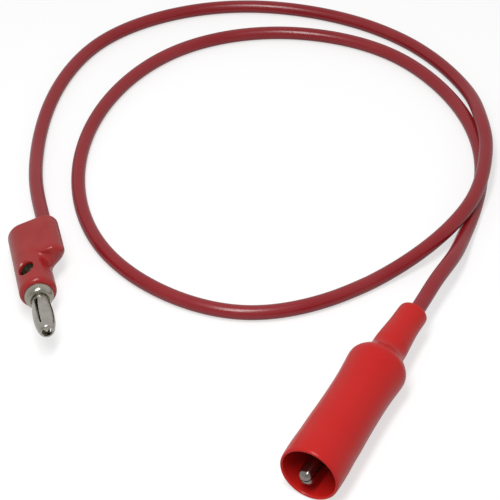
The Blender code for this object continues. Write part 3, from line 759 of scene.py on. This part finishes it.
# Clip: two folded and plated steel jaws with a round nose, a row of teeth and ears for the rivet
# each, the upper jaw's ears inside the lower one's. The lower one also has a crimp barrel behind
# for the cord's jacket. The jaw gap is left between the lips and round the jacket in the crimp.
clip_frame = boot_frame @ place((-20.0, -0.18, -0.76), 18.0, 3.69, -1.82)
sheet = 0.45
jaw_gap = 0.3
nose_x = 20.55
dome_x = 18.9
tooth_pitch = 1.2
tooth_height = 0.3
tooth_level = 0.21
tooth_count = 12
pivot_r = 1.0
corner_steps = 12
# The first tooth's station and the hollow's shift keep the corners of these tools out of the
# planes of the jaws' own sections, where the exact Boolean fails.
tooth_start = 5.07
off_ring = 0.04
lower_sections = [
    (-13.4, 2.2, -3.3, -2.0, 1.0), (-12.0, 2.6, -3.3, -1.4, 1.2), (-8.0, 3.0, -3.3, -1.2, 1.2),
    (-3.4, 3.35, -3.3, -1.2, 1.2), (-1.9, 3.4, -3.28, 1.7, 1.2), (-1.2, 3.4, -3.25, 1.9, 1.2),
    (1.2, 3.4, -3.2, 1.9, 1.2), (1.9, 3.35, -3.2, 1.7, 1.2), (3.2, 3.15, -3.1, 0.3, 1.2),
    (4.2, 2.95, -3.0, 0.3, 1.2), (8.0, 2.4, -2.7, 0.3, 1.2), (14.0, 1.78, -2.15, 0.3, 1.05),
    (dome_x, 1.55, -1.95, 0.3, 1.0)]
upper_sections = [
    (-13.6, 2.7, 5.25, 4.45, 0.75), (-12.6, 2.9, 5.15, 4.3, 0.8), (-10.0, 2.85, 4.75, 3.8, 0.9),
    (-6.0, 2.7, 4.1, 3.0, 1.0), (-3.2, 2.65, 3.6, 1.9, 1.2), (-1.9, 2.65, 3.4, -1.5, 1.2),
    (-1.2, 2.65, 3.3, -1.9, 1.2), (1.2, 2.65, 3.2, -1.9, 1.2), (1.9, 2.65, 3.2, -1.7, 1.2),
    (3.2, 2.6, 3.1, -0.4, 1.2), (4.2, 2.5, 3.0, -0.3, 1.2), (8.0, 2.2, 2.65, -0.3, 1.2),
    (14.0, 1.75, 2.15, -0.3, 1.05), (dome_x, 1.55, 1.95, -0.3, 1.0)]


def channel(x, half, floor, top, corner):
    """Section of a folded strip at a station: two walls and a round-cornered floor."""
    up = 1.0 if floor < top else -1.0
    bend = np.radians(np.linspace(180.0, 270.0, corner_steps))
    left = np.column_stack([np.full(corner_steps, x), corner * (1.0 + np.cos(bend)) - half,
                            floor + up * corner * (1.0 + np.sin(bend))])
    walls = [(x, -half, top), *left.tolist(), *(left[::-1] * (1.0, -1.0, 1.0)).tolist(),
             (x, half, top)]
    return np.array(walls)


def folded_jaw(name, sections):
    """Jaw of bent sheet with a domed nose; the hollow is the outside moved in by the sheet.

    At a share t of the nose's length its half width, floor and corner are 0.12 + 0.88 k of the
    last section's, where k is the square root of 1 - t^2.
    """
    _, half, floor, top, corner = sections[-1]
    nosed = list(sections)
    for t in np.sin(np.radians(np.linspace(8.0, 84.0, 14))):
        scale = 0.12 + 0.88 * math.sqrt(1.0 - t * t)
        nosed.append((dome_x + t * (nose_x - dome_x), half * scale, floor * scale, top,
                      corner * scale))
    piece = grid_mesh(name, placed(clip_frame, np.array([channel(*row) for row in nosed])))
    inner = []
    for x, half, floor, top, corner in sections:
        up = 1.0 if floor < top else -1.0
        inner.append((x - off_ring, half - sheet, floor + up * sheet, top + up * 4.0,
                      corner - 0.6 * sheet))
    inner.insert(0, (inner[0][0] - 2.0, *inner[0][1:]))
    tool = grid_mesh("tool_hollow", placed(clip_frame, np.array([channel(*row) for row in inner])))
    return piece, tool


def tooth_tool(side):
    """Block that leaves a row of teeth, and then the flat lips of the nose."""
    level = -side * tooth_level
    lip = -0.5 * side * jaw_gap
    back, front, far = 3.9, 22.0, side * 6.0
    crest = [(back, level)]
    for i in range(tooth_count):
        x = tooth_start + i * tooth_pitch
        crest += [(x, level - tooth_height), (x + 0.5 * tooth_pitch, level + tooth_height)]
    crest += [(tooth_start + tooth_count * tooth_pitch, lip), (front, lip), (front, far),
              (back, far)]
    return grid_mesh("tool_teeth", placed(clip_frame, np.array(
        [[(x, y, z) for x, z in crest] for y in (-5.0, 5.0)])))


pivot_axis = clip_frame @ place((0.0, 0.0, 0.0), 0.0, 0.0, 90.0)


def pivot_tool():
    """Drill for the rivet's hole."""
    return spun("tool_pivot", [(-6.0, 0.0), (-6.0, pivot_r), (6.0, pivot_r), (6.0, 0.0)],
                pivot_axis, sides=48)


lower_jaw, lower_hollow = folded_jaw("jaw_lower", lower_sections)
carve(lower_jaw, [pivot_tool(), tooth_tool(1.0), lower_hollow])
crimp_axis = clip_frame @ place((0.0, 0.0, -0.77), 0.0, 0.0, 0.0)
crimp_back, crimp_front = -19.8, -15.5
crimp_inner = cord_radius + jaw_gap
crimp_outer = crimp_inner + 0.4
crimp = spun("tool_crimp", [(crimp_back, crimp_inner), (crimp_back, crimp_outer),
                            (crimp_front, crimp_outer), (crimp_front, crimp_inner)], crimp_axis,
             sides=64, closed=True)
strap = slab("tool_strap", (-16.6, -0.75, -3.29), (-12.6, 0.75, -2.93), clip_frame)
carve(lower_jaw, [strap, crimp], operation="UNION")
upper_jaw, upper_hollow = folded_jaw("jaw_upper", upper_sections)
carve(upper_jaw, [pivot_tool(), tooth_tool(-1.0), upper_hollow])
steel_values = {"Stain Scale": 350.0, "Stain Amount": 0.5, "Gloss Low": 0.2, "Gloss High": 0.3}
# Both jaws' steel tones are painted darker than the other plated parts, as painted shade for the
# inside of the boot where the jaws lie.
for jaw, label, node, body, slot, bright, dull in (
        (lower_jaw, "lower_jaw_painted_shade_steel", "lower_jaw", "lead", "clip_steel",
         (0.33, 0.3, 0.28, 1.0), (0.2, 0.18, 0.165, 1.0)),
        (upper_jaw, "upper_jaw_painted_shade_steel", "upper_jaw", "jaw", "clip_steel_top",
         (0.34, 0.31, 0.29, 1.0), (0.21, 0.19, 0.175, 1.0))):
    jaw.data.materials.clear()
    jaw.data.materials.append(plated_material(label, {"Colour": bright, "Dull Colour": dull,
                                                      **steel_values}))
    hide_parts(node)
    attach(jaw, body)


# Small metal parts seen only from inside the boot or the plug: the plated rivet, the coil
# spring of drawn wire, and the cord's bared copper strands at its two ends.
finishes = {
    "jaw_rivet": ("rivet_plate", (0.56, 0.55, 0.52, 1.0), (0.36, 0.35, 0.32, 1.0)),
    "jaw_spring": ("drawn_wire", (0.33, 0.32, 0.31, 1.0), (0.2, 0.19, 0.18, 1.0)),
    "plug_core": ("copper_strands", (0.72, 0.36, 0.2, 1.0), (0.42, 0.2, 0.12, 1.0)),
    "clip_core": ("copper_strands_clip", (0.72, 0.37, 0.21, 1.0), (0.42, 0.2, 0.12, 1.0))}
for node, (label, bright, dull) in finishes.items():
    mesh = nodes[node].data
    mesh.materials.clear()
    mesh.materials.append(plated_material(label, {"Colour": bright, "Dull Colour": dull,
                                                  **steel_values}))
